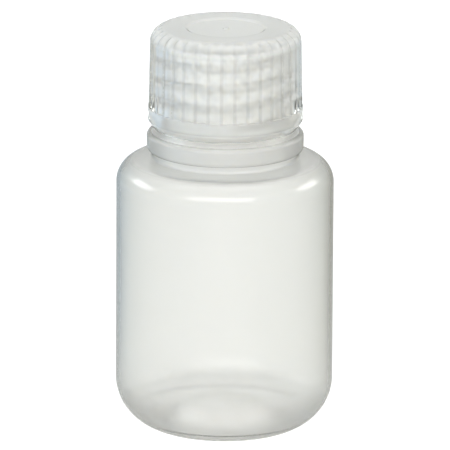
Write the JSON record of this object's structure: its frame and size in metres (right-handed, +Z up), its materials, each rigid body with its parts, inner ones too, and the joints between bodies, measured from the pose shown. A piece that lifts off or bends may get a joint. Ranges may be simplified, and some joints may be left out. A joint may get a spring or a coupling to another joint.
{
  "type": "wide-mouth bottle",
  "caption": "Small round wide-mouth laboratory bottle of translucent plastic with a collared neck and a ribbed screw cap that comes off for filling and pouring.",
  "frame": {"origin": "on the bottle's axis, in the plane that it stands on", "axes": "+Z up along the bottle's axis, -Y towards the side that the picture shows"},
  "size_m": [0.0338, 0.0338, 0.0638],
  "materials": {
    "bottle_plastic": "satin, translucent natural polypropylene",
    "cap_plastic": "satin, translucent natural polypropylene"
  },
  "bodies": {
    "bottle": {"bottle": "bottle_plastic"},
    "cap": {"screw_cap": "cap_plastic"}
  },
  "joints": [
    {"name": "cap_lift", "type": "slide", "parent": "bottle", "child": "cap", "axis": [0, 0, 1], "range_m": [0, 0.01905]}
  ]
}
